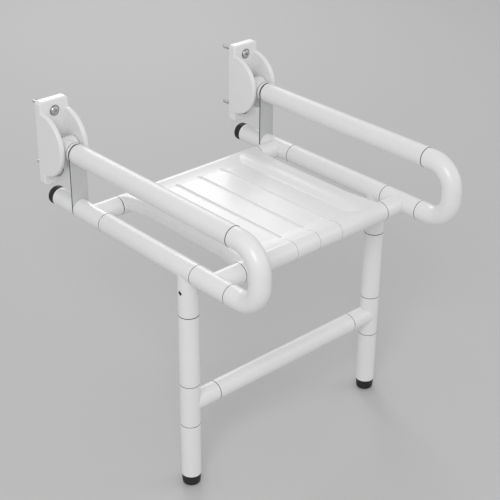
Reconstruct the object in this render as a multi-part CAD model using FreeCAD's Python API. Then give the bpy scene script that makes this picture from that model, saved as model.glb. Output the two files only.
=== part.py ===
import FreeCAD, Part
import math
import os

# Fold-down wall seat with side rails, drop leg frame and two wall brackets.
# Millimetres. +X is the sitter's left-to-right line, the wall plane is Y = 0, the
# seat projects towards -Y and +Z is up. The origin lies on the wall plane at the
# centre of the four wall screws.

# Side rails
rail_spacing = 440.0
rail_d = 35.0
grip_skin = 0.5
rail_rise = 103.0
sleeve_wall = 4.0
core_wall = 2.5
cross_core_step = 1.0
core_fit = 0.05
ring_ease = 0.6

# Distances out from the wall
pivot_out = 40.0
link_out = 77.0
rear_branch_out = 111.0
leg_out = 368.0

# Distances forward from the leg to the front of the rails
leg_tee_end = 5.5
front_tee_rear = 39.0
front_tee_front = 42.0
upper_bend_lead = 6.0
bend_straight = 20.0
bend_radius = 45.0

# Moulded fittings
tee_half = 40.5
tee_branch = 55.0
branch_step = 0.1
link_thick = 3.0
link_step = 0.5

# Wall brackets
screw_rise = 114.0
pivot_drop = 4.0
bracket_height = 155.0
bracket_corner = 6.0
panel_depth = 15.0
cheek_radius = 58.0
cheek_centre_out = 12.0
cheek_round = 2.5
recess_gap = 2.0
cheek_skin = 1.5
back_plate_thick = 5.0
ear_thick = 5.0
ear_wall = 3.0
ear_rim = 4.0
plate_fit = 0.1

# Seat hinge
hinge_pin_d = 10.0
hinge_bush_d = 14.0
bush_flange_d = 22.0
bush_flange = 1.0
bush_gap = 2.0
friction_washer_d = 26.0
friction_washer = 0.95
hinge_play = 0.05
knuckle_line_gap = 6.5
knuckle_line = 0.6
knuckle_core_depth = 14.0

# Wall screws
wall_screw_d = 8.0
wall_screw_neck_d = 7.2
wall_screw_length = 62.0
wall_screw_head_d = 16.0
wall_screw_head = 4.5
wall_screw_drive_d = 5.0
wall_screw_drive = 2.5
wall_washer_d = 19.0
wall_washer_thick = 1.6
washer_play = 0.75
screw_pocket_depth = 3.0
screw_hole_play = 0.5

# Rear stops
bumper_length = 15.0
bumper_step = 0.5
bumper_round = 2.0
plug_length = 15.0
plug_fit = 0.05

# Seat panel
side_roll_width = 52.0
side_roll_height = 28.0
side_roll_rise = 3.5
side_roll_corner = 11.0
seat_flare_length = 75.0
seat_flare_width = 11.5
flare_end_gap = 1.5
flare_end_step = 0.3
web_drop = 4.0
web_thick = 8.0
web_ramp_angle = 8.0
web_ramp_sink = 0.05
groove_width = 8.0
groove_depth = 3.0
groove_pitch = 52.0
groove_count = 3
groove_front_gap = 27.0
groove_rear_gap = 24.0
seat_screw_spread = 220.0
seat_screw_d = 5.0
seat_screw_head_d = 9.0
seat_screw_head = 2.0
seat_screw_tail = 2.0

# Drop leg frame
leg_pin_drop = 37.0
leg_ring_drop = 82.0
stretcher_drop = 257.0
floor_drop = 423.0
leg_pin_d = 8.0
leg_pin_recess = 4.0
leg_bush_d = 11.0
tongue_thick = 14.0
tongue_width = 24.0
tongue_play = 0.5
tongue_collar = 3.0
tongue_plug = 40.0
leg_joint_gap = 0.4
foot_height = 20.0
foot_step = 0.5
foot_taper = 1.5
foot_round = 3.0

# Positions that follow from the sizes above
rail_x = rail_spacing / 2.0
rail_r = rail_d / 2.0
grip_r = rail_r + grip_skin
core_r = rail_r - sleeve_wall
bore_r = core_r + core_fit
core_inner_r = core_r - core_wall
cross_core_r = core_r - cross_core_step
cross_bore_r = cross_core_r + core_fit
cross_inner_r = cross_core_r - core_wall
branch_r = rail_r - branch_step
upper_z = -pivot_drop
lower_z = upper_z - rail_rise
link_back_out = link_out - link_thick
leg_tee_front = rail_r + leg_tee_end
front_branch_out = leg_out + leg_tee_front + front_tee_rear
lower_bend_out = front_branch_out + front_tee_front
upper_bend_out = lower_bend_out + upper_bend_lead
bend_out = lower_bend_out + bend_straight + bend_radius
bracket_top = bracket_height / 2.0
recess_half = grip_r + recess_gap
ear_outer = recess_half + cheek_skin + ear_thick
bracket_half = ear_outer + ear_wall
knuckle_half = recess_half - bush_flange - friction_washer - hinge_play
leg_pin_z = lower_z - leg_pin_drop
leg_ring_z = lower_z - leg_ring_drop
stretcher_z = lower_z - stretcher_drop
floor_z = lower_z - floor_drop
foot_top_z = floor_z + foot_height
branch_x = rail_x - tee_branch
seat_half_width = branch_x - flare_end_gap - seat_flare_width
flare_end_r = rail_r - flare_end_step
side_roll_top = lower_z + rail_r + side_roll_rise
side_roll_bottom = side_roll_top - side_roll_height
seat_inner_half = seat_half_width - side_roll_width
web_top = lower_z + rail_r - web_drop
groove_front_y = -front_branch_out + groove_front_gap
groove_rear_y = -rear_branch_out - groove_rear_gap
flare_shares = (0.0, 0.14, 0.28, 0.42, 0.56, 0.7, 0.84, 1.0)
same_place = 0.01

X_AXIS = FreeCAD.Vector(1, 0, 0)
Y_AXIS = FreeCAD.Vector(0, 1, 0)
Z_AXIS = FreeCAD.Vector(0, 0, 1)
SLANT = math.sqrt(0.5)


def vec(x, y, z):
    return FreeCAD.Vector(x, y, z)


def rod(radius, start, end):
    """Plain round bar between two points."""
    run = end.sub(start)
    return Part.makeCylinder(radius, run.Length, start, run)


def eased_rod(radius, start, end, ease_start=True, ease_end=True):
    """Round bar whose end edges are eased, so that two butted ends show a fine ring."""
    run = end.sub(start)
    length = run.Length
    first = ring_ease if ease_start else 0.0
    last = ring_ease if ease_end else 0.0
    points = [vec(0, 0, 0), vec(radius - first, 0, 0)]
    if ease_start:
        points.append(vec(radius, 0, first))
    points.append(vec(radius, 0, length - last))
    if ease_end:
        points.append(vec(radius - last, 0, length))
    points.append(vec(0, 0, length))
    points.append(points[0])
    bar = Part.Face(Part.makePolygon(points)).revolve(vec(0, 0, 0), Z_AXIS, 360)
    bar.Placement = FreeCAD.Placement(start, FreeCAD.Rotation(Z_AXIS, run))
    return bar


def line(start, end):
    return Part.makeLine(start, end)


def arc(start, middle, end):
    return Part.Arc(start, middle, end).toShape()


def solid_face(edges):
    return Part.Face(Part.Wire(edges))


def box(x0, x1, y0, y1, z0, z1):
    return Part.makeBox(x1 - x0, y1 - y0, z1 - z0, vec(x0, y0, z0))


def pipe(path_edges, radius, start, direction):
    """Round bar that follows a path of lines and tangent arcs."""
    ring = Part.Wire(Part.makeCircle(radius, start, direction))
    return Part.Wire(path_edges).makePipeShell([ring], True, True)


def rim_edges(shape, centre):
    """Round edges of a turned piece that are centred on a point."""
    return [edge for edge in shape.Edges if edge.CenterOfMass.isEqual(centre, same_place)]


def mirror_pair(make):
    """One piece for each side: -1 is the left rail, +1 the right."""
    return {"left": make(-1), "right": make(1)}


def rail_path(x, upper_end_out, lower_end_out):
    """Centre line of the side rail, from its upper end round the front to its lower end."""
    turn = bend_radius
    slack = turn * (1.0 - math.sqrt(0.5))
    front = -bend_out
    corner_y = front + turn
    a = vec(x, -upper_end_out, upper_z)
    b = vec(x, corner_y, upper_z)
    b_mid = vec(x, front + slack, upper_z - slack)
    c = vec(x, front, upper_z - turn)
    d = vec(x, front, lower_z + turn)
    d_mid = vec(x, front + slack, lower_z + slack)
    e = vec(x, corner_y, lower_z)
    f = vec(x, -lower_end_out, lower_z)
    return [line(a, b), arc(b, b_mid, c), line(c, d), arc(d, d_mid, e), line(e, f)]


def rail_bar(x, radius, upper_end_out, lower_end_out):
    path = rail_path(x, upper_end_out, lower_end_out)
    return pipe(path, radius, vec(x, -upper_end_out, upper_z), Y_AXIS)


# Side rail pieces

def rail_core(side):
    """Bent steel tube that runs the whole way round inside the side rail."""
    x = side * rail_x
    upper_end = link_back_out - knuckle_core_depth
    outer = rail_bar(x, core_r, upper_end, bumper_length)
    inner = rail_bar(x, core_inner_r, upper_end, bumper_length)
    return outer.cut(inner)


def sleeve(x, z, radius, near_out, far_out, ease_near=True, ease_far=True):
    """Nylon sleeve round a rail core, between two distances out from the wall."""
    near = vec(x, -near_out, z)
    far = vec(x, -far_out, z)
    return eased_rod(radius, near, far, ease_near, ease_far).cut(rod(bore_r, near, far))


def grip_tube(side):
    return sleeve(side * rail_x, upper_z, grip_r, link_out, upper_bend_out)


def lower_tube(side):
    near = rear_branch_out + tee_half
    far = leg_out - rail_r
    return sleeve(side * rail_x, lower_z, rail_r, near, far, True, False)


def rear_stub(side):
    return sleeve(side * rail_x, lower_z, rail_r, bumper_length, link_back_out)


def front_bend(side):
    """Front of the side rail: two elbows joined by a short upright run."""
    x = side * rail_x
    collar = ring_ease
    bend = rail_bar(x, rail_r, upper_bend_out + collar, lower_bend_out + collar)
    upper_near = vec(x, -upper_bend_out, upper_z)
    upper_far = vec(x, -upper_bend_out - collar, upper_z)
    lower_near = vec(x, -lower_bend_out, lower_z)
    lower_far = vec(x, -lower_bend_out - collar, lower_z)
    bend = bend.fuse(eased_rod(rail_r, upper_near, upper_far, True, False))
    bend = bend.fuse(eased_rod(rail_r, lower_near, lower_far, True, False))
    hollow = rail_bar(x, bore_r, upper_bend_out - rail_r, lower_bend_out - rail_r)
    return bend.cut(hollow).removeSplitter()


def link_plate(side):
    """Obround steel plate that ties the upper and lower rails together at the back."""
    x = side * rail_x
    half = rail_r - link_step
    y = -link_out
    low_left = vec(x - half, y, lower_z)
    low_right = vec(x + half, y, lower_z)
    top_left = vec(x - half, y, upper_z)
    top_right = vec(x + half, y, upper_z)
    edges = [
        line(low_right, top_right),
        arc(top_right, vec(x, y, upper_z + half), top_left),
        line(top_left, low_left),
        arc(low_left, vec(x, y, lower_z - half), low_right),
    ]
    plate = solid_face(edges).extrude(vec(0, link_thick, 0))
    for z in (upper_z, lower_z):
        plate = plate.cut(rod(bore_r, vec(x, y, z), vec(x, y + link_thick, z)))
    return plate


def side_tee(side, near_out, far_out, branch_out):
    """Tee on the lower rail, with its branch turned inwards to a seat corner."""
    x = side * rail_x
    near = vec(x, -near_out, lower_z)
    far = vec(x, -far_out, lower_z)
    root = vec(x, -branch_out, lower_z)
    tip = vec(side * branch_x, -branch_out, lower_z)
    body = eased_rod(rail_r, near, far).fuse(eased_rod(branch_r, root, tip, False, True))
    body = body.cut(rod(bore_r, near, far))
    return body.cut(rod(cross_bore_r, root, tip)).removeSplitter()


def rear_tee(side):
    return side_tee(side, link_out, rear_branch_out + tee_half, rear_branch_out)


def front_tee(side):
    return side_tee(side, leg_out + leg_tee_front, lower_bend_out, front_branch_out)


def leg_tee(side):
    """Tee that carries the leg: its stub is slotted at the back for the leg's tongue."""
    x = side * rail_x
    near = vec(x, -leg_out + rail_r, lower_z)
    far = vec(x, -leg_out - leg_tee_front, lower_z)
    root = vec(x, -leg_out, lower_z)
    ring = vec(x, -leg_out, leg_ring_z + leg_joint_gap)
    body = eased_rod(rail_r, near, far, False, True)
    body = body.fuse(eased_rod(branch_r, root, ring, False, True))
    body = body.cut(rod(bore_r, near, far))
    slot_half = tongue_thick / 2.0 + tongue_play
    slot_front = -leg_out - tongue_width / 2.0 - tongue_play
    slot_top = leg_pin_z + tongue_width / 2.0 + tongue_play
    back = -leg_out + rail_d
    slot = box(x - slot_half, x + slot_half, slot_front, back, leg_ring_z, slot_top)
    body = body.cut(slot)
    # the rear of the stub is rounded about the pin, so the leg's end swings past it
    swing_r = leg_ring_drop - leg_pin_drop - leg_joint_gap
    corner = box(x - rail_d, x + rail_d, -leg_out, back, leg_ring_z, leg_pin_z)
    pin_left = vec(x - rail_d, -leg_out, leg_pin_z)
    pin_right = vec(x + rail_d, -leg_out, leg_pin_z)
    body = body.cut(corner.cut(rod(swing_r, pin_left, pin_right)))
    return body.cut(rod(leg_pin_d / 2.0, pin_left, pin_right)).removeSplitter()


def wall_bumper(side):
    """Rubber stop that presses on the wall, with a plug in the end of the rail core."""
    x = side * rail_x
    wall_end = vec(x, 0, lower_z)
    face = rod(rail_r - bumper_step, wall_end, vec(x, -bumper_length, lower_z))
    face = face.makeFillet(bumper_round, rim_edges(face, wall_end))
    plug_r = core_inner_r - plug_fit
    plug_end = vec(x, -bumper_length - plug_length, lower_z)
    return face.fuse(rod(plug_r, vec(x, -bumper_length, lower_z), plug_end)).removeSplitter()


def cross_tube(out):
    """Steel tube through a seat roll, coped against both rail cores."""
    left = vec(-rail_x, -out, lower_z)
    right = vec(rail_x, -out, lower_z)
    tube = rod(cross_core_r, left, right).cut(rod(cross_inner_r, left, right))
    for x in (-rail_x, rail_x):
        tube = tube.cut(rod(core_r, vec(x, -out - rail_d, lower_z), vec(x, -out + rail_d, lower_z)))
    for x in (-seat_screw_spread / 2.0, seat_screw_spread / 2.0):
        tube = tube.cut(rod(seat_screw_d / 2.0, vec(x, -out, lower_z - rail_r), vec(x, -out, lower_z)))
    return tube


# Hinge pieces

def hinge_knuckle(side):
    """Rounded end of the upper rail that turns on the bracket's pin."""
    x = side * rail_x
    pin_left = vec(x - knuckle_half, -pivot_out, upper_z)
    pin_right = vec(x + knuckle_half, -pivot_out, upper_z)
    barrel = rod(grip_r, pin_left, pin_right)
    neck_end = vec(x, -link_back_out, upper_z)
    neck = eased_rod(rail_r, vec(x, -pivot_out, upper_z), neck_end, False, True)
    body = barrel.fuse(neck)
    line_far = vec(x, -link_back_out + knuckle_line_gap, upper_z)
    line_near = vec(x, -link_back_out + knuckle_line_gap + knuckle_line, upper_z)
    groove = rod(rail_d, line_near, line_far)
    body = body.cut(groove.cut(rod(rail_r - knuckle_line, line_near, line_far)))
    body = body.cut(rod(bore_r, neck_end, vec(x, -link_back_out + knuckle_core_depth, upper_z)))
    return body.cut(rod(hinge_bush_d / 2.0, pin_left, pin_right)).removeSplitter()


def hinge_bushes():
    """Four flanged bushes, two in each knuckle."""
    bushes = []
    bore = hinge_pin_d / 2.0 + hinge_play
    for x in (-rail_x, rail_x):
        for way in (-1, 1):
            inner = vec(x + way * bush_gap / 2.0, -pivot_out, upper_z)
            face = vec(x + way * knuckle_half, -pivot_out, upper_z)
            outer = vec(x + way * (knuckle_half + bush_flange), -pivot_out, upper_z)
            bush = rod(hinge_bush_d / 2.0, inner, face).fuse(rod(bush_flange_d / 2.0, face, outer))
            bushes.append(bush.cut(rod(bore, inner, outer)).removeSplitter())
    return Part.makeCompound(bushes)


def friction_washers():
    """Four friction discs between the bush flanges and the bracket cheeks."""
    washers = []
    for x in (-rail_x, rail_x):
        for way in (-1, 1):
            outer = vec(x + way * recess_half, -pivot_out, upper_z)
            inner = vec(x + way * (recess_half - friction_washer), -pivot_out, upper_z)
            disc = rod(friction_washer_d / 2.0, inner, outer)
            washers.append(disc.cut(rod(hinge_pin_d / 2.0, inner, outer)))
    return Part.makeCompound(washers)


def hinge_pin(side):
    x = side * rail_x
    left = vec(x - ear_outer, -pivot_out, upper_z)
    right = vec(x + ear_outer, -pivot_out, upper_z)
    return rod(hinge_pin_d / 2.0, left, right)


# Wall bracket pieces

def side_profile(x, thick, depth, half_height, radius):
    """Side view of a bracket: a flat back part with a round bulge to the front."""
    rise = math.sqrt(radius ** 2 - (depth - cheek_centre_out) ** 2)
    bottom_back = vec(x, 0, -half_height)
    bottom_front = vec(x, -depth, -half_height)
    bulge_low = vec(x, -depth, -rise)
    bulge_tip = vec(x, -cheek_centre_out - radius, 0)
    bulge_high = vec(x, -depth, rise)
    top_front = vec(x, -depth, half_height)
    top_back = vec(x, 0, half_height)
    edges = [
        line(bottom_back, bottom_front),
        line(bottom_front, bulge_low),
        arc(bulge_low, bulge_tip, bulge_high),
        line(bulge_high, top_front),
        line(top_front, top_back),
        line(top_back, bottom_back),
    ]
    return solid_face(edges).extrude(vec(thick, 0, 0))


def front_outline(x, half_width, half_height, corner, depth):
    """Front view of a bracket: an upright rectangle with round corners, as a deep block."""
    slack = corner * (1.0 - math.sqrt(0.5))
    w = half_width
    h = half_height
    edges = [
        line(vec(x - w + corner, 0, -h), vec(x + w - corner, 0, -h)),
        arc(vec(x + w - corner, 0, -h), vec(x + w - slack, 0, -h + slack), vec(x + w, 0, -h + corner)),
        line(vec(x + w, 0, -h + corner), vec(x + w, 0, h - corner)),
        arc(vec(x + w, 0, h - corner), vec(x + w - slack, 0, h - slack), vec(x + w - corner, 0, h)),
        line(vec(x + w - corner, 0, h), vec(x - w + corner, 0, h)),
        arc(vec(x - w + corner, 0, h), vec(x - w + slack, 0, h - slack), vec(x - w, 0, h - corner)),
        line(vec(x - w, 0, h - corner), vec(x - w, 0, -h + corner)),
        arc(vec(x - w, 0, -h + corner), vec(x - w + slack, 0, -h + slack), vec(x - w + corner, 0, -h)),
    ]
    return solid_face(edges).extrude(vec(0, -depth, 0))


def bracket_insert(x, grow):
    """Steel back plate with two ears; grow widens it to make the cover's pocket."""
    half_height = bracket_top - ear_rim + grow
    width = ear_outer + grow
    back_depth = back_plate_thick + grow
    back = box(x - width, x + width, -back_depth, 0, -half_height, half_height)
    insert = back
    for way in (-1, 1):
        centre = x + way * (ear_outer - ear_thick / 2.0)
        thick = ear_thick + 2.0 * grow
        radius = cheek_radius - ear_rim + grow
        ear = side_profile(centre - thick / 2.0, thick, back_depth, half_height, radius)
        insert = insert.fuse(ear)
    return insert


def bracket_plate(side):
    x = side * rail_x
    plate = bracket_insert(x, 0.0)
    plate = plate.cut(hinge_pin(side))
    hole_r = wall_screw_d / 2.0 + screw_hole_play
    for z in (-screw_rise / 2.0, screw_rise / 2.0):
        plate = plate.cut(rod(hole_r, vec(x, 0, z), vec(x, -panel_depth, z)))
    return plate.removeSplitter()


def bracket_cover(side):
    """White moulded cover: a panel with two cheeks that flank the hinge knuckle."""
    x = side * rail_x
    half = bracket_half
    body = side_profile(x - half, 2.0 * half, panel_depth, bracket_top, cheek_radius)
    body = body.common(front_outline(x, half, bracket_top, bracket_corner, cheek_radius * 2.0))
    recess_front = -cheek_centre_out - cheek_radius - cheek_round
    recess = box(x - recess_half, x + recess_half, recess_front, -panel_depth, -bracket_top, bracket_top)
    body = body.cut(recess)
    rims = []
    for edge in body.Edges:
        middle = edge.valueAt((edge.FirstParameter + edge.LastParameter) / 2.0)
        is_arc = hasattr(edge.Curve, "Radius") and abs(edge.Curve.Radius - cheek_radius) < same_place
        if is_arc and middle.y < -panel_depth:
            rims.append(edge)
    body = body.makeFillet(cheek_round, rims)
    body = body.cut(bracket_insert(x, plate_fit))
    body = body.cut(hinge_pin(side))
    hole_r = wall_screw_d / 2.0 + screw_hole_play
    for z in (-screw_rise / 2.0, screw_rise / 2.0):
        body = body.cut(rod(hole_r, vec(x, 0, z), vec(x, -panel_depth, z)))
        pocket_floor = vec(x, -panel_depth + screw_pocket_depth, z)
        pocket_r = wall_washer_d / 2.0 + washer_play
        body = body.cut(rod(pocket_r, pocket_floor, vec(x, -panel_depth, z)))
    return body.removeSplitter()


def screw_places():
    places = []
    for x in (-rail_x, rail_x):
        for z in (-screw_rise / 2.0, screw_rise / 2.0):
            places.append((x, z))
    return places


def wall_screws():
    """Four pan-head screws: a thin neck in the bracket, then the threaded part in the wall."""
    screws = []
    under_head = -panel_depth + screw_pocket_depth - wall_washer_thick
    for x, z in screw_places():
        seat = vec(x, under_head, z)
        top = vec(x, under_head - wall_screw_head, z)
        head = rod(wall_screw_head_d / 2.0, seat, top)
        head = head.makeFillet(wall_screw_head / 2.0, rim_edges(head, top))
        drive = rod(wall_screw_drive_d / 2.0, top, vec(x, top.y + wall_screw_drive, z))
        wall_point = vec(x, 0, z)
        neck = rod(wall_screw_neck_d / 2.0, seat, wall_point)
        thread = rod(wall_screw_d / 2.0, wall_point, vec(x, under_head + wall_screw_length, z))
        screws.append(head.cut(drive).fuse([neck, thread]).removeSplitter())
    return Part.makeCompound(screws)


def wall_screw_washers():
    washers = []
    floor = -panel_depth + screw_pocket_depth
    for x, z in screw_places():
        seat = vec(x, floor, z)
        top = vec(x, floor - wall_washer_thick, z)
        disc = rod(wall_washer_d / 2.0, seat, top)
        washers.append(disc.cut(rod(wall_screw_d / 2.0 + plate_fit, seat, top)))
    return Part.makeCompound(washers)


# Seat panel pieces

def flare_section(side, end, share):
    """Rounded section of a side roll: share runs from 0 on the straight to 1 on the end roll."""
    spread = min(1.0, share / flare_shares[-2]) ** 1.2
    edge = seat_half_width + seat_flare_width * spread
    top = side_roll_top + (lower_z + flare_end_r - side_roll_top) * share ** 3
    bottom = side_roll_bottom + (lower_z - flare_end_r - side_roll_bottom) * share ** 2
    roll_y = -front_branch_out if end < 0 else -rear_branch_out
    y = roll_y - end * seat_flare_length * (1.0 - share)
    r = min(side_roll_corner, (top - bottom) * 0.45, (edge - seat_inner_half) * 0.45)
    near = (seat_inner_half, seat_inner_half + r, seat_inner_half + r * (1.0 - SLANT))
    far = (edge, edge - r, edge - r * (1.0 - SLANT))
    low = (bottom, bottom + r, bottom + r * (1.0 - SLANT))
    high = (top, top - r, top - r * (1.0 - SLANT))
    edges = []
    for (x_out, x_in, x_arc), (z_out, z_in, z_arc), forward in (
        (near, low, True), (far, low, False), (far, high, True), (near, high, False),
    ):
        upright = vec(side * x_out, y, z_in)
        flat = vec(side * x_in, y, z_out)
        middle = vec(side * x_arc, y, z_arc)
        ends = (upright, flat) if forward else (flat, upright)
        edges.append(Part.Arc(ends[0], middle, ends[1]).toShape())
    sides = []
    for index, arc in enumerate(edges):
        following = edges[(index + 1) % len(edges)]
        sides += [arc, Part.makeLine(arc.lastVertex().Point, following.firstVertex().Point)]
    return Part.Wire(sides)


def side_roll(side):
    """Broad raised side edge of the seat, flared outwards at both ends to meet the tees."""
    front = [flare_section(side, -1, share) for share in flare_shares]
    rear = [flare_section(side, 1, share) for share in flare_shares]
    straight = Part.makeLoft([front[0], rear[0]], True, True)
    return [straight, Part.makeLoft(front, True, True), Part.makeLoft(rear, True, True)]


def web_ramp(end):
    """Low wedge that brings the web up to the top of an end roll, nearly in line with it."""
    angle = math.radians(web_ramp_angle)
    roll_y = -front_branch_out if end < 0 else -rear_branch_out
    reach = rail_r - web_ramp_sink
    top = vec(0, roll_y - end * reach * math.sin(angle), lower_z + reach * math.cos(angle))
    foot_y = top.y - end * (top.z - web_top) / math.tan(angle)
    under = web_top - web_thick / 2.0
    inner = seat_half_width - side_roll_width / 2.0
    corners = [(top.y, top.z), (foot_y, web_top), (foot_y, under), (roll_y, under), (roll_y, top.z - 1.0)]
    points = [vec(-inner, y, z) for y, z in corners]
    return Part.Face(Part.makePolygon(points + points[:1])).extrude(vec(2.0 * inner, 0, 0))


def seat_groove(x):
    """Long drain channel with round ends in the top of the seat."""
    half = groove_width / 2.0
    floor = web_top - groove_depth
    front = groove_front_y + half
    rear = groove_rear_y - half
    channel = box(x - half, x + half, front, rear, floor, web_top + rail_d)
    for y in (front, rear):
        channel = channel.fuse(rod(half, vec(x, y, floor), vec(x, y, web_top + rail_d)))
    return channel


def seat_panel():
    """One-piece moulded seat: round front and rear rolls, raised side rolls and a flat web."""
    body = None
    for out in (front_branch_out, rear_branch_out):
        roll = eased_rod(rail_r, vec(-branch_x, -out, lower_z), vec(branch_x, -out, lower_z))
        body = roll if body is None else body.fuse(roll)
    inner = seat_half_width - side_roll_width / 2.0
    web = box(-inner, inner, -front_branch_out, -rear_branch_out, web_top - web_thick, web_top)
    body = body.fuse([web, web_ramp(-1), web_ramp(1)] + side_roll(-1) + side_roll(1))
    for index in range(groove_count):
        body = body.cut(seat_groove((index - (groove_count - 1) / 2.0) * groove_pitch))
    for out in (front_branch_out, rear_branch_out):
        body = body.cut(rod(cross_bore_r, vec(-branch_x, -out, lower_z), vec(branch_x, -out, lower_z)))
        for x in (-seat_screw_spread / 2.0, seat_screw_spread / 2.0):
            bottom = vec(x, -out, lower_z - rail_r)
            body = body.cut(rod(seat_screw_d / 2.0, bottom, vec(x, -out, lower_z)))
            pocket = vec(x, -out, lower_z - rail_r + seat_screw_head)
            body = body.cut(rod(seat_screw_head_d / 2.0, vec(x, -out, lower_z - rail_d), pocket))
    return body.removeSplitter()


def seat_screws():
    """Four screws that hold the seat panel to the cross tubes from below."""
    screws = []
    for out in (front_branch_out, rear_branch_out):
        for x in (-seat_screw_spread / 2.0, seat_screw_spread / 2.0):
            bottom = vec(x, -out, lower_z - rail_r)
            shoulder = vec(x, -out, lower_z - rail_r + seat_screw_head)
            tip = vec(x, -out, lower_z - cross_inner_r + seat_screw_tail)
            head = rod(seat_screw_head_d / 2.0, bottom, shoulder)
            screws.append(head.fuse(rod(seat_screw_d / 2.0, shoulder, tip)).removeSplitter())
    return Part.makeCompound(screws)


# Leg frame pieces

def leg_pins():
    """Two pins through the leg tees, sunk below the outer surface."""
    pins = []
    half = rail_r - leg_pin_recess
    for x in (-rail_x, rail_x):
        start = vec(x - half, -leg_out, leg_pin_z)
        pins.append(rod(leg_pin_d / 2.0, start, vec(x + half, -leg_out, leg_pin_z)))
    return Part.makeCompound(pins)


def leg_bushes():
    """One bush in each leg tongue, running on the leg pin."""
    bushes = []
    half = tongue_thick / 2.0
    for x in (-rail_x, rail_x):
        start = vec(x - half, -leg_out, leg_pin_z)
        end = vec(x + half, -leg_out, leg_pin_z)
        bush = rod(leg_bush_d / 2.0, start, end)
        bushes.append(bush.cut(rod(leg_pin_d / 2.0 + hinge_play, start, end)))
    return Part.makeCompound(bushes)


def leg_tongue(side):
    """Steel head of the leg: a tongue on the pin, a collar and a plug in the leg core."""
    x = side * rail_x
    half_thick = tongue_thick / 2.0
    half_width = tongue_width / 2.0
    y = -leg_out
    tongue = box(x - half_thick, x + half_thick, y - half_width, y + half_width, leg_ring_z, leg_pin_z)
    start = vec(x - half_thick, y, leg_pin_z)
    end = vec(x + half_thick, y, leg_pin_z)
    tongue = tongue.fuse(rod(half_width, start, end))
    collar_low = vec(x, y, leg_ring_z - tongue_collar)
    tongue = tongue.fuse(rod(core_r, collar_low, vec(x, y, leg_ring_z)))
    plug_r = core_inner_r - plug_fit
    tongue = tongue.fuse(rod(plug_r, vec(x, y, leg_ring_z - tongue_collar - tongue_plug), collar_low))
    return tongue.cut(rod(leg_bush_d / 2.0, start, end)).removeSplitter()


def leg_sleeve(side, top_z, bottom_z, ease_bottom=True):
    x = side * rail_x
    top = vec(x, -leg_out, top_z)
    bottom = vec(x, -leg_out, bottom_z)
    return eased_rod(rail_r, top, bottom, True, ease_bottom).cut(rod(bore_r, top, bottom))


def upper_leg_tube(side):
    return leg_sleeve(side, leg_ring_z, stretcher_z + tee_half)


def lower_leg_tube(side):
    return leg_sleeve(side, stretcher_z - tee_half, foot_top_z, False)


def stretcher_tee(side):
    x = side * rail_x
    top = vec(x, -leg_out, stretcher_z + tee_half)
    bottom = vec(x, -leg_out, stretcher_z - tee_half)
    root = vec(x, -leg_out, stretcher_z)
    tip = vec(side * branch_x, -leg_out, stretcher_z)
    body = eased_rod(rail_r, top, bottom).fuse(eased_rod(branch_r, root, tip, False, True))
    body = body.cut(rod(bore_r, top, bottom))
    return body.cut(rod(cross_bore_r, root, tip)).removeSplitter()


def leg_core(side):
    x = side * rail_x
    top = vec(x, -leg_out, leg_ring_z - tongue_collar)
    bottom = vec(x, -leg_out, foot_top_z)
    return rod(core_r, top, bottom).cut(rod(core_inner_r, top, bottom))


def stretcher_core():
    left = vec(-rail_x, -leg_out, stretcher_z)
    right = vec(rail_x, -leg_out, stretcher_z)
    tube = rod(cross_core_r, left, right).cut(rod(cross_inner_r, left, right))
    for x in (-rail_x, rail_x):
        low = vec(x, -leg_out, stretcher_z - rail_d)
        tube = tube.cut(rod(core_r, low, vec(x, -leg_out, stretcher_z + rail_d)))
    return tube


def stretcher_tube():
    left = vec(-branch_x, -leg_out, stretcher_z)
    right = vec(branch_x, -leg_out, stretcher_z)
    return eased_rod(rail_r, left, right).cut(rod(cross_bore_r, left, right))


def foot(side):
    """Tapered rubber foot with a round lower edge and a plug in the leg core."""
    x = side * rail_x
    low = vec(x, -leg_out, floor_z)
    top_r = rail_r - foot_step
    cone = Part.makeCone(top_r - foot_taper, top_r, foot_height, low, Z_AXIS)
    cone = cone.makeFillet(foot_round, rim_edges(cone, low))
    plug_r = core_inner_r - plug_fit
    plug_top = vec(x, -leg_out, foot_top_z + plug_length)
    return cone.fuse(rod(plug_r, vec(x, -leg_out, foot_top_z), plug_top)).removeSplitter()


def all_pieces():
    sided = {
        "bracket_plate": bracket_plate,
        "bracket_cover": bracket_cover,
        "hinge_pin": hinge_pin,
        "hinge_knuckle": hinge_knuckle,
        "link_plate": link_plate,
        "rail_core": rail_core,
        "grip_tube": grip_tube,
        "front_bend": front_bend,
        "front_tee": front_tee,
        "leg_tee": leg_tee,
        "lower_tube": lower_tube,
        "rear_tee": rear_tee,
        "rear_stub": rear_stub,
        "wall_bumper": wall_bumper,
        "leg_tongue": leg_tongue,
        "upper_leg_tube": upper_leg_tube,
        "stretcher_tee": stretcher_tee,
        "lower_leg_tube": lower_leg_tube,
        "leg_core": leg_core,
        "foot": foot,
    }
    pieces = {}
    for name, make in sided.items():
        for word, shape in mirror_pair(make).items():
            pieces[word + "_" + name] = shape
    pieces["wall_screws"] = wall_screws()
    pieces["wall_screw_washers"] = wall_screw_washers()
    pieces["hinge_friction_washers"] = friction_washers()
    pieces["hinge_bushes"] = hinge_bushes()
    pieces["front_cross_tube"] = cross_tube(front_branch_out)
    pieces["rear_cross_tube"] = cross_tube(rear_branch_out)
    pieces["seat_panel"] = seat_panel()
    pieces["seat_screws"] = seat_screws()
    pieces["leg_pins"] = leg_pins()
    pieces["leg_bushes"] = leg_bushes()
    pieces["stretcher_core"] = stretcher_core()
    pieces["stretcher_tube"] = stretcher_tube()
    return pieces


os.makedirs("parts", exist_ok=True)
for node, shape in all_pieces().items():
    print(node, "solids", len(shape.Solids), "valid", shape.isValid(), "volume", round(shape.Volume, 1))
    shape.exportStep("parts/" + node + ".step")
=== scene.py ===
import bpy
import bmesh
import math
from mathutils import Matrix, Vector


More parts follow.
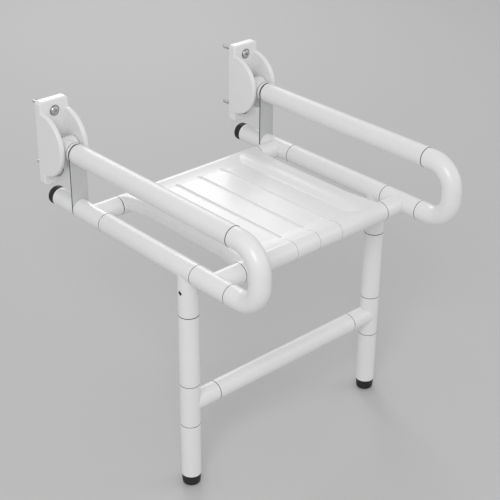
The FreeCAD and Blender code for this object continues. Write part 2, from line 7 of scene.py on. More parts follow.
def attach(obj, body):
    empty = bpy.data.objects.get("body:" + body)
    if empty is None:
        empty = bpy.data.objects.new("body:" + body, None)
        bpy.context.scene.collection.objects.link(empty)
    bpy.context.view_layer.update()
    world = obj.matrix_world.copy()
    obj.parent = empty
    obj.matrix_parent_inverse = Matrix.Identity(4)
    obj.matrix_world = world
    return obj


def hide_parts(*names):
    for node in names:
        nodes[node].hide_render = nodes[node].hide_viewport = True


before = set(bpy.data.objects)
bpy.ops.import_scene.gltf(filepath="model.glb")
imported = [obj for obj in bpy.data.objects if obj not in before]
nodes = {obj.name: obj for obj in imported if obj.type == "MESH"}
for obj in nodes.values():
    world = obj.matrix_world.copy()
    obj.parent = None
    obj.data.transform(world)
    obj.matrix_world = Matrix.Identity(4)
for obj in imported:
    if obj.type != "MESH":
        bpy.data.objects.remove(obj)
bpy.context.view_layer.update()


# Camera. A long lens looks down on the seat from its front left, as in the photograph.
# The place and the turn come from fitting the rails' outlines.
camera_place = Vector((-1.2985, -1.6960, 0.8554))
camera_yaw = math.radians(42.387)
camera_pitch = math.radians(28.455)
camera_roll = math.radians(0.507)
forward = Vector((
    math.sin(camera_yaw) * math.cos(camera_pitch),
    math.cos(camera_yaw) * math.cos(camera_pitch),
    -math.sin(camera_pitch),
))
level = Vector((math.cos(camera_yaw), -math.sin(camera_yaw), 0.0))
upright = level.cross(forward)
right = level * math.cos(camera_roll) + upright * math.sin(camera_roll)
up = upright * math.cos(camera_roll) - level * math.sin(camera_roll)
camera = bpy.data.objects.new("camera", bpy.data.cameras.new("camera"))
bpy.context.scene.collection.objects.link(camera)
camera.data.lens = 88.79
camera.data.sensor_width = 36.0
camera.data.clip_end = 50.0
camera_turn = Matrix((right, up, -forward)).transposed().to_4x4()
camera.matrix_world = Matrix.Translation(camera_place) @ camera_turn
bpy.context.scene.camera = camera
bpy.context.scene.view_settings.view_transform = "Standard"


# Bracket plates. A 5 mm zinc-plated steel plate with two ears stands in each bracket cover.
# It is folded from sheet, and everything that the seat carries hangs on its ears.
class Finish:
    """One material. Its nodes take plain numbers or links, and its values take part in arithmetic."""

    def __init__(self, name, **shader):
        self.material = bpy.data.materials.new(name)
        self.material.use_nodes = True
        self.tree = self.material.node_tree
        self.tree.nodes.clear()
        output = self.tree.nodes.new("ShaderNodeOutputMaterial")
        self.shader = self.node("ShaderNodeBsdfPrincipled", {}, {})
        self.tree.links.new(self.shader.outputs[0], output.inputs["Surface"])
        self.set(**shader)

    def set(self, **shader):
        for key, value in shader.items():
            self.plug(self.shader.inputs[key.replace("_", " ")], value)

    def plug(self, socket, value):
        if isinstance(value, Value):
            self.tree.links.new(value.socket, socket)
        else:
            socket.default_value = value

    def node(self, kind, settings, inputs):
        made = self.tree.nodes.new(kind)
        for key, value in settings.items():
            setattr(made, key, value)
        for key, value in inputs.items():
            self.plug(made.inputs[key], value)
        return made

    def value(self, kind, settings, inputs, output=0):
        return Value(self, self.node(kind, settings, inputs).outputs[output])

    def place(self, shift=(0.0, 0.0, 0.0)):
        coordinates = self.value("ShaderNodeTexCoord", {}, {}, "Object")
        return self.value("ShaderNodeMapping", {}, {"Vector": coordinates, "Location": shift})

    def split(self, vector):
        parts = self.node("ShaderNodeSeparateXYZ", {}, {"Vector": vector})
        return [Value(self, socket) for socket in parts.outputs]

    def noise(self, vector, scale, detail):
        inputs = {"Vector": vector, "Scale": scale, "Detail": detail}
        return self.value("ShaderNodeTexNoise", {}, inputs, "Fac")

    def mix(self, factor, low, high):
        """Colour mix. The Mix node's colour sockets are 6 and 7, and its colour output is 2."""
        inputs = {0: factor, 6: low, 7: high}
        for socket in (6, 7):
            if not isinstance(inputs[socket], Value):
                inputs[socket] = (*inputs[socket], 1.0)
        return self.value("ShaderNodeMix", {"data_type": "RGBA"}, inputs, 2)

    def bump(self, height, distance, strength):
        inputs = {"Height": height, "Distance": distance, "Strength": strength}
        return self.value("ShaderNodeBump", {}, inputs)


class Value:
    """A socket that adds Math nodes when it is used in an expression."""

    def __init__(self, finish, socket):
        self.finish = finish
        self.socket = socket

    def maths(self, operation, *others):
        inputs = dict(enumerate((self,) + others))
        return self.finish.value("ShaderNodeMath", {"operation": operation}, inputs)

    def __add__(self, other):
        return self.maths("ADD", other)

    __radd__ = __add__

    def __mul__(self, other):
        return self.maths("MULTIPLY", other)

    __rmul__ = __mul__

    def __sub__(self, other):
        return self.maths("SUBTRACT", other)

    def __rsub__(self, other):
        return (self * -1.0) + other

    def __truediv__(self, other):
        return self.maths("DIVIDE", other)

    def __abs__(self):
        return self.maths("ABSOLUTE")

    def __mod__(self, other):
        return self.maths("FLOORED_MODULO", other)

    def __lt__(self, other):
        return self.maths("LESS_THAN", other)

    def __gt__(self, other):
        return self.maths("GREATER_THAN", other)

    def either(self, other):
        return self.maths("MAXIMUM", other)


def dress(finish, *names):
    """Puts a material into these CAD nodes."""
    for name in names:
        mesh = nodes[name].data
        mesh.materials.clear()
        mesh.materials.append(finish.material)


def both(name):
    """The left and the right node of a kind."""
    return ["left_" + name, "right_" + name]


def metal(name, tint, polish):
    """Bare or plated metal with a fine grain."""
    finish = Finish(name, Metallic=1.0)
    grain = finish.noise(finish.place(), 900.0, 3.0)
    finish.set(
        Base_Color=finish.mix(grain, [c * 0.9 for c in tint], tint),
        Roughness=grain * 0.15 + polish,
        Normal=finish.bump(grain, 0.00002, 0.4),
    )
    return finish


zinc = metal("plated_steel", (0.62, 0.63, 0.64), 0.38)
dress(zinc, *both("bracket_plate"))


# Bracket covers. One white nylon moulding each side: a panel on the wall and two round cheeks
# that flank the hinge. Edges are rounded, and two sunk pockets take the wall screws.
rail_x = 0.220
cover_half = 0.0295
cover_rise = 0.0775
corner_round = 0.006
edge_round = 0.003
panel_depth = 0.015
cheek_radius = 0.058
cheek_centre = -0.012
cheek_root = -0.010
recess_half = 0.020
screw_rise = 0.057
screw_hole = 0.0045
pocket_radius = 0.01025
pocket_depth = 0.003
plate_half = 0.0266
plate_rise = 0.0736
plate_depth = 0.0051
ear_radius = 0.0541
ear_x = 0.024
ear_thick = 0.0052
ear_root = -0.004
hinge_out = 0.040
hinge_z = -0.004
hinge_bore = 0.005
hinge_length = 0.053


def take_up(name):
    """Names the primitive that was just added and puts its place into its mesh."""
    piece = bpy.context.object
    piece.name = name
    piece.data.name = name
    bpy.ops.object.transform_apply(location=True, rotation=True, scale=True)
    return piece


def block(name, low, high):
    """Cube primitive between two corners."""
    bpy.ops.object.select_all(action="DESELECT")
    middle = [(a + b) / 2.0 for a, b in zip(low, high)]
    bpy.ops.mesh.primitive_cube_add(size=1.0, location=middle, scale=[b - a for a, b in zip(low, high)])
    return take_up(name)


def bar(name, radius, middle, length, axis, sides):
    """Cylinder primitive along x, y or z."""
    bpy.ops.object.select_all(action="DESELECT")
    turn = {"x": (0.0, math.pi / 2.0, 0.0), "y": (math.pi / 2.0, 0.0, 0.0), "z": (0.0, 0.0, 0.0)}[axis]
    bpy.ops.mesh.primitive_cylinder_add(
        vertices=sides, radius=radius, depth=length, location=middle, rotation=turn)
    return take_up(name)


def work_on(piece):
    """Selects one piece alone and makes it the active one."""
    bpy.ops.object.select_all(action="DESELECT")
    piece.select_set(True)
    bpy.context.view_layer.objects.active = piece


def pick(piece, kind, test):
    """Opens a piece in edit mode with the corners, edges or faces selected that pass a test."""
    work_on(piece)
    bpy.ops.object.mode_set(mode="EDIT")
    bpy.ops.mesh.select_mode(type=kind)
    bpy.ops.mesh.select_all(action="DESELECT")
    mesh = bmesh.from_edit_mesh(piece.data)
    for part in {"VERT": mesh.verts, "EDGE": mesh.edges, "FACE": mesh.faces}[kind]:
        corners = [part] if kind == "VERT" else part.verts
        middle = sum((corner.co for corner in corners), Vector()) / len(corners)
        if test(middle, part):
            part.select_set(True)
    bmesh.update_edit_mesh(piece.data)


def close_up():
    """Ends the work in edit mode."""
    bpy.ops.object.mode_set(mode="OBJECT")


def slice_off(piece, place, facing):
    """Cuts a piece on a plane, takes off what lies on its far side and closes the cut."""
    pick(piece, "FACE", lambda middle, face: True)
    bpy.ops.mesh.bisect(plane_co=place, plane_no=facing, clear_outer=True, use_fill=True)
    close_up()


def round_edges(piece, test, width, steps):
    """Bevels the edges that pass a test."""
    pick(piece, "EDGE", test)
    bpy.ops.mesh.bevel(offset=width, segments=steps)
    close_up()


def sharp(edge, degrees=40.0):
    """Says whether the faces at an edge turn by more than an angle."""
    return len(edge.link_faces) == 2 and edge.calc_face_angle(0.0) > math.radians(degrees)


def along(edge, axis):
    """Says whether an edge runs along x, y or z, given as 0, 1 or 2."""
    run = edge.verts[1].co - edge.verts[0].co
    return abs(run[axis]) > 0.9 * run.length


def modify(piece, kind, **settings):
    """Adds a modifier and applies it."""
    work_on(piece)
    modifier = piece.modifiers.new(kind.lower(), kind)
    for key, value in settings.items():
        setattr(modifier, key, value)
    bpy.ops.object.modifier_apply(modifier=modifier.name)


def cut(piece, tool):
    """Takes the form of a second piece out of the first, and uses the second up."""
    modify(piece, "BOOLEAN", object=tool, operation="DIFFERENCE", solver="EXACT")
    bpy.data.objects.remove(tool)


def weld_on(piece, other):
    """Joins a second piece on to the first as one closed form."""
    modify(piece, "BOOLEAN", object=other, operation="UNION", solver="EXACT")
    bpy.data.objects.remove(other)


def smooth(piece, degrees):
    """Shades a piece smooth, apart from edges that turn by more than an angle."""
    work_on(piece)
    bpy.ops.object.shade_smooth_by_angle(angle=math.radians(degrees))


seam_half = 0.00058
# Near-black painted shade for the gaps where pieces butt.
gap_shade_colour = (0.06, 0.06, 0.06)


def lines(axes, seams):
    """Mask of thin rings. A seam is an axis, a place on it and None, or else a second axis with the
    lowest and highest place that the ring keeps to. On x, one seam stands for both sides."""
    mask = None
    for axis, at, kept in seams:
        line = abs((abs(axes[axis]) if axis == "x" else axes[axis]) - at) < seam_half
        if kept:
            other, lowest, highest = kept
            line = line * (axes[other] > lowest) * (axes[other] < highest)
        mask = line if mask is None else mask.either(line)
    return mask


def nylon_finish(name, shaded_gaps=(), shaded_partings=()):
    """Satin white nylon, with painted shade in the gaps between pieces and in the faint parting lines of
    the mould.
    """
    finish = Finish(name, IOR=1.5, Coat_Roughness=0.15, Coat_Weight=0.2)
    place = finish.place()
    cloud = finish.noise(place, 14.0, 2.0)
    skin = finish.noise(place, 240.0, 1.0)
    colour = finish.mix(cloud, (0.83, 0.83, 0.83), (0.86, 0.86, 0.865))
    axes = dict(zip("xyz", finish.split(place)))
    if shaded_partings:
        # Painted shade: the parting lines are coloured mid grey.
        colour = finish.mix(lines(axes, shaded_partings), colour, (0.50, 0.50, 0.50))
    if shaded_gaps:
        # Painted shade: the gaps are coloured near-black.
        colour = finish.mix(lines(axes, shaded_gaps), colour, gap_shade_colour)
    finish.set(
        Base_Color=colour,
        Roughness=finish.noise(place, 60.0, 2.0) * 0.08 + 0.26,
        Normal=finish.bump(skin, 0.00002, 0.4),
    )
    return finish


cover_nylon = nylon_finish("cover_nylon")
for side, sign in (("left", -1), ("right", 1)):
    x = sign * rail_x
    low = (x - cover_half, -panel_depth, -cover_rise)
    cover = block(side + "_bracket_shell", low, (x + cover_half, 0.0, cover_rise))
    round_edges(cover, lambda middle, edge: along(edge, 1), corner_round, 8)
    front_edge = -panel_depth + 0.001
    round_edges(cover, lambda middle, edge: sharp(edge) and middle.y < front_edge, edge_round, 6)
    for way in (-1, 1):
        cheek_x = x + way * (cover_half + recess_half) / 2.0
        cheek_thick = cover_half - recess_half - 0.0001
        cheek = bar("cheek", cheek_radius, (cheek_x, cheek_centre, 0.0), cheek_thick, "x", 128)
        round_edges(cheek, lambda middle, edge: sharp(edge), edge_round, 6)
        slice_off(cheek, (0.0, cheek_root, 0.0), (0.0, 1.0, 0.0))
        weld_on(cover, cheek)
    for z in (-screw_rise, screw_rise):
        cut(cover, bar("pocket", pocket_radius, (x, -panel_depth, z), 2.0 * pocket_depth, "y", 64))
        cut(cover, bar("hole", screw_hole, (x, -0.005, z), 0.03, "y", 32))
    low = (x - plate_half, -plate_depth, -plate_rise)
    cut(cover, block("plate_pocket", low, (x + plate_half, 0.01, plate_rise)))
    for way in (-1, 1):
        ear = bar("ear_slot", ear_radius, (x + way * ear_x, cheek_centre, 0.0), ear_thick, "x", 96)
        slice_off(ear, (0.0, ear_root, 0.0), (0.0, 1.0, 0.0))
        cut(cover, ear)
    cut(cover, bar("pin_bore", hinge_bore, (x, -hinge_out, hinge_z), hinge_length, "x", 48))
    smooth(cover, 28.0)
    modify(cover, "WEIGHTED_NORMAL", keep_sharp=True)
    cover.data.materials.append(cover_nylon.material)
    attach(cover, "wall_brackets")
    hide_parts(side + "_bracket_cover")


# Wall screws. Four stainless pan-head screws, 8 mm, with a hexagon socket, a thin neck in the
# bracket and a rolled thread in the wall. A flat stainless washer sits under each head.
screw_steel = metal("stainless_steel", (0.62, 0.62, 0.61), 0.30)


def turned(name, foot, axis, profile, steps):
    """Turned piece: a chain of corners (radius, run along the axis) is extruded and spun round."""
    bpy.ops.object.select_all(action="DESELECT")
    bpy.ops.mesh.primitive_plane_add(size=0.001, location=foot)
    piece = take_up(name)
    bpy.ops.object.mode_set(mode="EDIT")
    bpy.ops.mesh.select_mode(type="VERT")
    bpy.ops.mesh.select_all(action="SELECT")
    bpy.ops.mesh.merge(type="CENTER")
    across = Vector((0.0, 0.0, 1.0)) if axis.z == 0.0 else Vector((1.0, 0.0, 0.0))
    last = (0.0, 0.0)
    for radius, run in profile:
        step = across * (radius - last[0]) + axis * (run - last[1])
        if step.length > 0.0:
            bpy.ops.mesh.extrude_region_move(TRANSFORM_OT_translate={"value": step})
        last = (radius, run)
    bpy.ops.mesh.select_all(action="SELECT")
    bpy.ops.mesh.spin(steps=steps, angle=2.0 * math.pi, center=foot, axis=axis)
    bpy.ops.mesh.select_all(action="SELECT")
    bpy.ops.mesh.remove_doubles(threshold=0.000002)
    bpy.ops.mesh.normals_make_consistent(inside=False)
    close_up()
    return piece


def joined(name, pieces):
    """Like pieces put together in one object, each still closed by itself."""
    bpy.ops.object.select_all(action="DESELECT")
    for piece in pieces:
        piece.select_set(True)
    bpy.context.view_layer.objects.active = pieces[0]
    bpy.ops.object.join()
    pieces[0].name = name
    pieces[0].data.name = name
    return pieces[0]


screw_seat = -0.0136
head_rise = 0.0045
neck_radius = 0.0036
thread_pitch = 0.00125
thread_turns = 38
socket_radius = 0.0029
head_profile = [(0.0, head_rise), (0.0035, head_rise), (0.0048, 0.0042), (0.0064, 0.0034)]
head_profile += [(0.0076, 0.0022), (0.0080, 0.0010), (0.0080, 0.0)]
screw_profile = [(radius, screw_seat - rise) for radius, rise in head_profile]
screw_profile += [(neck_radius, screw_seat), (neck_radius, 0.0)]
for turn in range(thread_turns):
    ridge = thread_pitch * turn
    screw_profile += [(0.0034, ridge + 0.0001), (0.0040, ridge + 0.0006), (0.0040, ridge + 0.0008)]
screw_profile += [(0.0030, 0.0478), (0.0, 0.0484)]
screws = []
for sign in (-1, 1):
    for z in (-screw_rise, screw_rise):
        foot = Vector((sign * rail_x, 0.0, z))
        screw = turned("wall_screw", foot, Vector((0.0, 1.0, 0.0)), screw_profile, 32)
        socket_place = (sign * rail_x, screw_seat - head_rise, z)
        cut(screw, bar("socket", socket_radius, socket_place, 0.005, "y", 6))
        screws.append(screw)
screws = joined("socket_wall_screws", screws)
smooth(screws, 35.0)
screws.data.materials.append(screw_steel.material)
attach(screws, "wall_brackets")
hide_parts("wall_screws")

washer_profile = [(0.00415, 0.0), (0.0091, 0.0), (0.0095, 0.0004), (0.0095, 0.0012), (0.0091, 0.0016)]
washer_profile += [(0.00415, 0.0016), (0.00415, 0.0)]
washers = []
for sign in (-1, 1):
    for z in (-screw_rise, screw_rise):
        foot = Vector((sign * rail_x, screw_seat, z))
        washers.append(turned("washer", foot, Vector((0.0, 1.0, 0.0)), washer_profile, 48))
washers = joined("screw_washers", washers)
smooth(washers, 35.0)
washers.data.materials.append(screw_steel.material)
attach(washers, "wall_brackets")
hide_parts("wall_screw_washers")


# Hinges. A 10 mm stainless pin stands in the ears of each plate. Flanged grey acetal bushes in
# the knuckle turn on it, and a friction disc each side holds the raised seat.
def acetal_finish(name):
    """Grey plain-bearing plastic, slightly cloudy."""
    finish = Finish(name, IOR=1.48)
    cloud = finish.noise(finish.place(), 200.0, 3.0)
    finish.set(
        Base_Color=finish.mix(cloud, (0.20, 0.205, 0.21), (0.26, 0.265, 0.27)),
        Roughness=cloud * 0.2 + 0.35,
    )
    return finish


acetal = acetal_finish("grey_acetal")
dress(acetal, "hinge_friction_washers", "hinge_bushes")
dress(screw_steel, *both("hinge_pin"))


# Rail cores. A bent steel tube, 27 mm, runs the whole way round inside each side rail.
# It is zinc-plated and carries the load, and the white sleeves are threaded over it.
dress(zinc, *both("rail_core"))


# Hinge knuckles. The rounded rear end of each upper rail, moulded in white nylon over the core.
# A fine groove runs round its neck, where the moulding's collar starts; the groove and the collar's end
# get thin rings of painted shade.
neck_groove = -0.0672
collar_end = -0.0740
knuckle_nylon = nylon_finish("knuckle_nylon", (("y", neck_groove, None), ("y", collar_end, None)))
dress(knuckle_nylon, *both("hinge_knuckle"))


# Link plates. An obround 3 mm steel plate is welded across the upper and lower core tube on each
# side. Its faces are glass-blasted, and its edge faces are coloured near-black.
upper_z = -0.004
lower_z = -0.107
link_out = 0.077
link_half = 0.01695
link_thick = 0.003
link_burr = 0.0005
core_hole = 0.01355


def blasted_steel(name):
    """Blasted faces to the front and the rear, and near-black edge faces all round, picked by their
    facing.
    """
    finish = Finish(name, Metallic=0.55)
    grain = finish.noise(finish.place(), 1400.0, 2.0)
    facing = finish.split(finish.value("ShaderNodeTexCoord", {}, {}, "Normal"))[1]
    # Faces that do not face along y, the edge, are coloured near-black.
    edge = abs(facing) < 0.6
    finish.set(
        Base_Color=finish.mix(edge, (0.66, 0.665, 0.67), (0.10, 0.10, 0.105)),
        Roughness=grain * 0.12 + 0.42,
        Normal=finish.bump(grain, 0.00004, 0.5),
    )
    return finish


blasted = blasted_steel("satin_steel")
for side, sign in (("left", -1), ("right", 1)):
    x = sign * rail_x
    low = (x - link_half, -link_out, lower_z - link_half)
    high = (x + link_half, -link_out + link_thick, upper_z + link_half)
    plate = block(side + "_blasted_link", low, high)
    round_edges(plate, lambda middle, edge: along(edge, 1), link_half * 0.9999, 24)
    pick(plate, "VERT", lambda middle, corner: True)
    bpy.ops.mesh.remove_doubles(threshold=0.00002)
    close_up()
    round_edges(plate, lambda middle, edge: sharp(edge, 60.0), link_burr, 2)
    for z in (upper_z, lower_z):
        cut(plate, bar("core_hole", core_hole, (x, -link_out, z), 0.02, "y", 64))
    smooth(plate, 35.0)
    plate.data.materials.append(blasted.material)
    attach(plate, "seat_frame")
    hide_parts(side + "_link_plate")


# Grip tubes and lower tubes. Nylon sleeves over the straight runs of the rails. A staggered
# grain of small raised dots on them keeps a wet hand from slipping.
grip_radius = 0.018
lower_radius = 0.0175
grip_front = -0.478
rear_tee_end = -0.1515
gap_half = 0.00062
dot_pitch = 0.0024
dot_share = 0.36
dot_height = 0.00014


def grip_nylon(name, centre_x, centre_z, radius, ends):
    """White nylon with dots laid out round a tube's axis, and painted shade in the gap at each given end.
    """
    finish = Finish(name, IOR=1.5, Coat_Roughness=0.25, Coat_Weight=0.1)
    x, y, z = finish.split(finish.place((-centre_x, 0.0, -centre_z)))
    around = x.maths("ARCTAN2", z) * (radius / dot_pitch)
    along_rail = y / dot_pitch
    row = around.maths("FLOOR")
    stagger = (row % 2.0) * 0.5
    across = around - row - 0.5
    step = along_rail + stagger
    ahead = step - step.maths("FLOOR") - 0.5
    reach = (across * across + ahead * ahead).maths("SQRT")
    dot = (1.0 - reach / dot_share).maths("MAXIMUM", 0.0).maths("SQRT")
    cloud = finish.noise(finish.place(), 14.0, 2.0)
    colour = finish.mix(cloud, (0.81, 0.81, 0.81), (0.85, 0.85, 0.855))
    for end in ends:
        # Painted shade: a thin near-black ring in the gap at each end.
        colour = finish.mix(abs(y - end) < gap_half, colour, gap_shade_colour)
    finish.set(
        Base_Color=colour,
        Roughness=finish.noise(finish.place(), 60.0, 3.0) * 0.1 + 0.30,
        Normal=finish.bump(dot, dot_height, 0.8),
    )
    return finish


for side, sign in (("left", -1), ("right", 1)):
    x = sign * rail_x
    upper = grip_nylon(side + "_grip_nylon", x, upper_z, grip_radius, (-link_out, grip_front))
    dress(upper, side + "_grip_tube")
    lower = grip_nylon(side + "_lower_nylon", x, lower_z, lower_radius, (rear_tee_end,))
    dress(lower, side + "_lower_tube")


# Front bends. Each closes the side rail at the front with two elbows and a short upright run.
# They are split nylon mouldings in a satin white, butted against the sleeves with a fine gap that is
# painted dark as shade.
bend_lower_end = -0.472
mid_rail_z = -0.055
bend_nylon = nylon_finish("bend_nylon", (
    ("y", grip_front, ("z", mid_rail_z, 1.0)),
    ("y", bend_lower_end, ("z", -1.0, mid_rail_z)),
))
dress(bend_nylon, *both("front_bend"))


# Tees and rear stubs of the lower rail. White nylon mouldings: the front and the rear tee hold
# the seat's corners, the leg tee carries the leg, and the stub ends at the wall.
seat_end = 0.165
leg_tee_front = -0.391
leg_tee_foot = -0.189
# Thin near-black rings of painted shade mark the gaps where the tees butt on other pieces.
tee_nylon = nylon_finish("tee_nylon", (
    ("x", seat_end, None),
    ("y", rear_tee_end, None),
    ("y", leg_tee_front, None),
    ("y", bend_lower_end, None),
    ("z", leg_tee_foot, None),
))
dress(tee_nylon, *both("front_tee"), *both("leg_tee"), *both("rear_tee"), *both("rear_stub"))


# Wall bumpers. Black rubber stops on the rear ends of the lower rails, each with a plug in the
# core tube. Their round-edged faces press on the wall when the seat is down.
def matt_black(name):
    """Dull black with a fine grain and a little dust."""
    finish = Finish(name, IOR=1.5)
    place = finish.place()
    grain = finish.noise(place, 700.0, 3.0)
    dust = finish.noise(place, 45.0, 4.0)
    finish.set(
        Base_Color=finish.mix(dust, (0.006, 0.006, 0.0065), (0.014, 0.014, 0.015)),
        Roughness=dust * 0.2 + 0.45,
        Normal=finish.bump(grain, 0.0001, 0.5),
    )
    return finish


rubber = matt_black("black_rubber")
bumper_profile = [(0.0, 0.0), (0.0140, 0.0), (0.0155, 0.0003), (0.0165, 0.0011), (0.0170, 0.0024)]
bumper_profile += [(0.0170, 0.0060), (0.0165, 0.0065), (0.0165, 0.0073), (0.0170, 0.0078)]
bumper_profile += [(0.0170, 0.0144), (0.0167, 0.0149), (0.01095, 0.0149), (0.01095, 0.0285)]
bumper_profile += [(0.0098, 0.0298), (0.0, 0.0298)]
for side, sign in (("left", -1), ("right", 1)):
    back = Vector((sign * rail_x, 0.0, lower_z))
    stop = turned(side + "_rubber_stop", back, Vector((0.0, -1.0, 0.0)), bumper_profile, 64)
    smooth(stop, 35.0)
    stop.data.materials.append(rubber.material)
    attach(stop, "seat_frame")
    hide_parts(side + "_wall_bumper")


# Seat cross tubes and seat screws. Two zinc-plated tubes run through the seat's rolls from core
# to core, and four screws from below hold the seat to them.
dress(zinc, "front_cross_tube", "rear_cross_tube")
dress(screw_steel, "seat_screws")


# Seat panel. One gas-assisted white moulding: a round roll at the front and the rear, a sunk web
# with three drain grooves, and two broad side bands that widen at the corners.
front_out = 0.430
rear_out = 0.111
roll_radius = 0.0175
roll_spare = 0.006
web_top = -0.0935
web_bottom = -0.1015
web_half = 0.128
ramp_length = 0.016
ramp_foot = 0.0137
ramp_rise = 0.0015
ramp_root_rise = 0.0040
band_top = -0.086
band_bottom = -0.114
band_inner = 0.099
band_edge = 0.152
band_round = 0.0105
band_slope = ((band_inner, -0.0085), (0.105, -0.0048), (0.113, -0.0018), (0.125, -0.0002))
flare_reach = 0.075
flare_width = 0.0115
flare_full = 0.84
flare_drop = 0.0034
groove_radius = 0.0049
groove_depth = 0.003
groove_pitch = 0.052
groove_front = -0.400
groove_rear = -0.138
cross_tube_bore = 0.01255
seat_screw_x = 0.110
seat_screw_hole = 0.0025
seat_screw_pocket = 0.0045
panel_voxel = 0.0020
same_place = 0.0005


def score(piece, place, facing):
    """Scores new edges round a piece, on a plane."""
    pick(piece, "FACE", lambda middle, face: True)
    bpy.ops.mesh.bisect(plane_co=place, plane_no=facing)
    close_up()


def shift(piece, test, move):
    """Moves the corners that pass a test."""
    pick(piece, "VERT", test)
    bpy.ops.transform.translate(value=move)
    close_up()


def near(value, place):
    """Says whether a coordinate lies on a place."""
    return abs(value - place) < same_place


band = block("band", (band_inner, -front_out, band_bottom), (band_edge, -rear_out, band_top))
for slope_x, drop in band_slope[1:]:
    score(band, (slope_x, 0.0, 0.0), (1.0, 0.0, 0.0))
flare_stations = [flare_full * step / 6.0 for step in range(1, 7)]
for share in flare_stations:
    for roll_y, way in ((-front_out, 1.0), (-rear_out, -1.0)):
        station_y = roll_y + way * flare_reach * (1.0 - share)
        score(band, (0.0, station_y, 0.0), (0.0, 1.0, 0.0))
for slope_x, drop in band_slope:
    shift(band, lambda middle, corner: near(middle.x, slope_x) and middle.z > -0.09, (0.0, 0.0, drop))
round_edges(
    band, lambda middle, edge: along(edge, 1) and near(middle.x, band_edge) and sharp(edge), band_round, 6)
for share in flare_stations + [1.0]:
    spread = flare_width * min(1.0, share / flare_full) ** 1.2
    fall = -flare_drop * share ** 3
    for roll_y, way in ((-front_out, 1.0), (-rear_out, -1.0)):
        station_y = roll_y + way * flare_reach * (1.0 - share)
        outer = lambda middle, corner: near(middle.y, station_y) and middle.x > 0.135
        top = lambda middle, corner: near(middle.y, station_y) and middle.z > -0.1
        shift(band, outer, (spread, 0.0, 0.0))
        shift(band, top, (0.0, 0.0, fall))
modify(band, "MIRROR", use_axis=(True, False, False))

web = block("web", (-web_half, -front_out, web_bottom), (web_half, -rear_out, web_top))
for roll_y, way in ((-front_out, 1.0), (-rear_out, -1.0)):
    ramp_middle = roll_y + way * ramp_length
    score(web, (0.0, ramp_middle + way * ramp_foot, 0.0), (0.0, 1.0, 0.0))
    score(web, (0.0, ramp_middle, 0.0), (0.0, 1.0, 0.0))
    for ramp_y, rise in ((roll_y, ramp_root_rise), (ramp_middle, ramp_rise)):
        shift(web, lambda middle, corner: near(middle.y, ramp_y) and middle.z > -0.098, (0.0, 0.0, rise))

rolls = []
for name, out in (("front_roll", front_out), ("rear_roll", rear_out)):
    rolls.append(bar(name, roll_radius, (0.0, -out, lower_z), 2.0 * (seat_end + roll_spare), "x", 128))
seat = joined("moulded_seat", [*rolls, web, band])
modify(seat, "REMESH", mode="VOXEL", voxel_size=panel_voxel)
modify(seat, "SMOOTH", factor=0.5, iterations=11)
slice_off(seat, (seat_end, 0.0, 0.0), (1.0, 0.0, 0.0))
slice_off(seat, (-seat_end, 0.0, 0.0), (-1.0, 0.0, 0.0))
groove_z = web_top - groove_depth + groove_radius
groove_middle = (groove_front + groove_rear) / 2.0
for x in (-groove_pitch, 0.0, groove_pitch):
    place = (x, groove_middle, groove_z)
    groove = bar("groove", groove_radius, place, groove_rear - groove_front, "y", 48)
    for y in (groove_front, groove_rear):
        bpy.ops.object.select_all(action="DESELECT")
        bpy.ops.mesh.primitive_uv_sphere_add(
            segments=48, ring_count=24, radius=groove_radius, location=(x, y, groove_z))
        weld_on(groove, take_up("groove_end"))
    cut(seat, groove)
for out in (front_out, rear_out):
    cut(seat, bar("tube_bore", cross_tube_bore, (0.0, -out, lower_z), 0.4, "x", 96))
    for x in (-seat_screw_x, seat_screw_x):
        cut(seat, bar("screw_hole", seat_screw_hole, (x, -out, lower_z - 0.010), 0.02, "z", 24))
        pocket_place = (x, -out, lower_z - roll_radius - 0.003)
        cut(seat, bar("screw_pocket", seat_screw_pocket, pocket_place, 0.010, "z", 32))
smooth(seat, 38.0)
roll_front = ("y", -1.0, -0.4145)
# The seat's ends get painted shade in their gaps at the tees, and the parting lines on the front roll are
# painted grey as shade.
seat_nylon = nylon_finish(
    "white_nylon",
    shaded_gaps=(("x", seat_end, None),),
    shaded_partings=(("x", 0.0, roll_front), ("x", groove_pitch, roll_front)),
)
seat.data.materials.append(seat_nylon.material)
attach(seat, "seat_frame")
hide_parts("seat_panel")


# Leg hinges. A steel tongue at the head of each leg hangs in the leg tee's slot on a steel pin
# with a bush. The pin is coloured dull black, is sunk in its hole and shows on the tee's outer side.
dress(zinc, *both("leg_tongue"))
dress(acetal, "leg_bushes")
leg_out = 0.368
leg_pin_z = -0.144
pin_half = 0.0165
dull_black_pin = matt_black("dull_black_pin_finish")
pin_profile = [(0.0, 0.0010), (0.0012, 0.0010), (0.0016, 0.0), (0.0034, 0.0), (0.0040, 0.0006)]
pin_profile += [(0.0040, 0.0324), (0.0034, 0.0330), (0.0016, 0.0330), (0.0012, 0.0320), (0.0, 0.0320)]
pins = []
for sign in (-1, 1):
    foot = Vector((sign * rail_x - pin_half, -leg_out, leg_pin_z))
    pins.append(turned("leg_pin", foot, Vector((1.0, 0.0, 0.0)), pin_profile, 32))
pins = joined("centred_leg_pins", pins)
smooth(pins, 35.0)
pins.data.materials.append(dull_black_pin.material)
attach(pins, "seat_frame")
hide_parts("leg_pins")


# Leg tubes, stretcher tees and stretcher. White nylon sleeves over zinc-plated core tubes, in an
# H with one cross bar. The sleeves butt with a fine gap, painted dark as shade.
stretcher_tee_top = -0.3235
stretcher_tee_bottom = -0.4045
leg_nylon = nylon_finish("leg_nylon", (
    ("z", leg_tee_foot, None),
    ("z", stretcher_tee_top, None),
    ("z", stretcher_tee_bottom, None),
    ("x", seat_end, None),
))
dress(leg_nylon, *both("upper_leg_tube"), *both("stretcher_tee"), *both("lower_leg_tube"))
dress(leg_nylon, "stretcher_tube")
dress(zinc, *both("leg_core"), "stretcher_core")


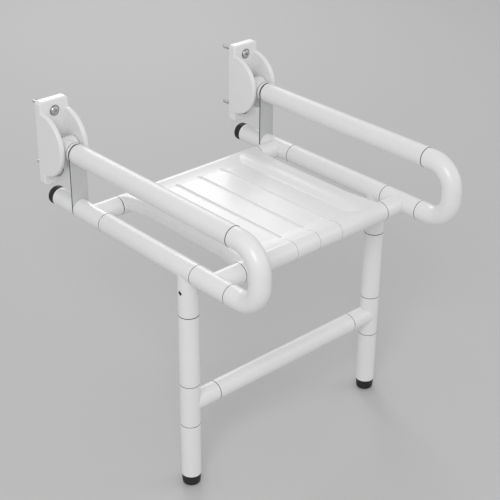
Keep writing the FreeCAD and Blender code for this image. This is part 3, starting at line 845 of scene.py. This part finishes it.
# Feet. Tapered black rubber caps with a round lower edge, two shallow grip rings and a plug that
# is pushed up into the leg's core tube.
floor_z = -0.530
foot_profile = [(0.0, 0.0), (0.0125, 0.0), (0.0140, 0.0004), (0.0152, 0.0014), (0.0157, 0.0030)]
foot_profile += [(0.0159, 0.0065), (0.0154, 0.0070), (0.01545, 0.0080), (0.01605, 0.0085)]
foot_profile += [(0.0162, 0.0110), (0.0157, 0.0115), (0.01575, 0.0125), (0.01635, 0.0130)]
foot_profile += [(0.0170, 0.0196), (0.0167, 0.0199)]
foot_profile += [(0.01095, 0.0199), (0.01095, 0.0335), (0.0098, 0.0348), (0.0, 0.0348)]
for side, sign in (("left", -1), ("right", 1)):
    tip = Vector((sign * rail_x, -leg_out, floor_z))
    cap = turned(side + "_ringed_foot", tip, Vector((0.0, 0.0, 1.0)), foot_profile, 64)
    smooth(cap, 35.0)
    cap.data.materials.append(rubber.material)
    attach(cap, "leg_frame")
    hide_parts(side + "_foot")


# Floor and light. A plain pale floor under the feet, an even pale surround, one wide soft lamp
# high on the left, a weaker one on the right and a rim lamp behind.
bpy.ops.object.select_all(action="DESELECT")
bpy.ops.mesh.primitive_plane_add(size=16.0, location=(0.0, 0.0, floor_z - 0.0005))
floor = take_up("floor")
pale = Finish("pale_floor", Base_Color=(0.56, 0.56, 0.56, 1.0), Roughness=0.7)
floor.data.materials.append(pale.material)

world = bpy.data.worlds.new("surround")
world.use_nodes = True
bpy.context.scene.world = world
air = world.node_tree
glow = air.nodes["Background"]
glow.inputs["Color"].default_value = (0.80, 0.80, 0.80, 1.0)
glow.inputs["Strength"].default_value = 0.76
seen = air.nodes.new("ShaderNodeBackground")
seen.inputs["Color"].default_value = (0.43, 0.43, 0.43, 1.0)
path = air.nodes.new("ShaderNodeLightPath")
choice = air.nodes.new("ShaderNodeMixShader")
air.links.new(path.outputs["Is Camera Ray"], choice.inputs[0])
air.links.new(glow.outputs[0], choice.inputs[1])
air.links.new(seen.outputs[0], choice.inputs[2])
air.links.new(choice.outputs[0], air.nodes["World Output"].inputs["Surface"])


def lamp(name, place, aim, size, power):
    """Round soft lamp that points at a place."""
    light = bpy.data.lights.new(name, "AREA")
    light.shape = "DISK"
    light.size = size
    light.energy = power
    made = bpy.data.objects.new(name, light)
    bpy.context.scene.collection.objects.link(made)
    made.location = place
    made.rotation_euler = (Vector(aim) - Vector(place)).to_track_quat("-Z", "Y").to_euler()


lamp("key_lamp", (-2.1, -2.0, 1.8), (0.0, -0.25, -0.2), 1.6, 34.0)
lamp("fill_lamp", (2.2, -1.8, 1.0), (0.0, -0.25, -0.2), 1.8, 6.0)
lamp("rim_lamp", (1.6, 2.4, 1.5), (0.0, -0.25, -0.1), 1.6, 20.0)
